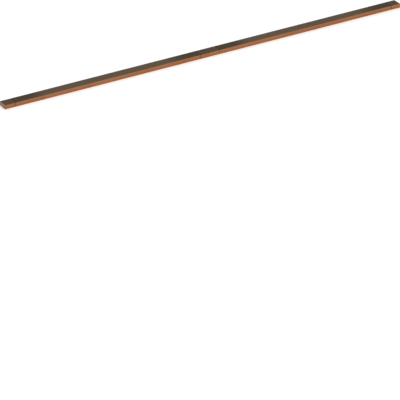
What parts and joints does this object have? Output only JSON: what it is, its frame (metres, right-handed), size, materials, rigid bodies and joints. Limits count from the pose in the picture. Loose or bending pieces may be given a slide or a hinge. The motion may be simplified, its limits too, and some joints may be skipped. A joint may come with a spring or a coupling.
{
  "type": "door sweep",
  "caption": "Slim sectional door sweep: copper-finish channels with spring-backed floating ribbed rubber seals, joined by rubber-padded end blocks and a centre coupler.",
  "frame": {"origin": "middle of the mounting face, halfway between the end plates and between the front and back faces", "axes": "+X along the sweep, +Y from the front face to the back face, +Z from the mounting face to the sealing face"},
  "size_m": [1, 0.024, 0.01],
  "materials": {
    "copper_anodised": "satin copper anodising with a fine lengthwise grain",
    "bronze_plate": "satin bronze anodising",
    "mill_aluminium": "mill finish",
    "seal_rubber": "matt extruded rubber, dark brown-grey",
    "pad_rubber": "matt moulded rubber, dark brown-grey",
    "screw_steel": "plain stainless steel",
    "bronzed_screw": "bronze-coated steel",
    "spring_steel": "bright rolled spring strip"
  },
  "bodies": {
    "housing": {"left_channel": "copper_anodised", "right_channel": "copper_anodised", "left_end_block": "copper_anodised", "right_end_block": "copper_anodised", "centre_coupler": "copper_anodised", "left_end_plate": "bronze_plate", "right_end_plate": "bronze_plate", "left_end_pad": "pad_rubber", "right_end_pad": "pad_rubber", "centre_pad": "pad_rubber", "left_spring_outer": "spring_steel", "left_spring_inner": "spring_steel", "right_spring_outer": "spring_steel", "right_spring_inner": "spring_steel", "left_joint_screw_outer": "screw_steel", "left_joint_screw_inner": "screw_steel", "right_joint_screw_outer": "screw_steel", "right_joint_screw_inner": "screw_steel", "left_plate_screw_a": "bronzed_screw", "left_plate_screw_b": "bronzed_screw", "right_plate_screw_a": "bronzed_screw", "right_plate_screw_b": "bronzed_screw"},
    "left_floating_seal": {"left_seal_bar": "mill_aluminium", "left_seal": "seal_rubber", "left_spring_rivet_outer": "screw_steel", "left_spring_rivet_inner": "screw_steel"},
    "right_floating_seal": {"right_seal_bar": "mill_aluminium", "right_seal": "seal_rubber", "right_spring_rivet_outer": "screw_steel", "right_spring_rivet_inner": "screw_steel"}
  },
  "joints": [
    {"name": "left_seal_press", "type": "slide", "parent": "housing", "child": "left_floating_seal", "axis": [0, 0, -1], "range_m": [0, 0.0017], "stiffness_N_per_m": 600, "springref_m": -0.005, "deforming": ["left_spring_outer", "left_spring_inner"]},
    {"name": "right_seal_press", "type": "slide", "parent": "housing", "child": "right_floating_seal", "axis": [0, 0, -1], "range_m": [0, 0.0017], "stiffness_N_per_m": 600, "springref_m": -0.005, "deforming": ["right_spring_outer", "right_spring_inner"]}
  ]
}
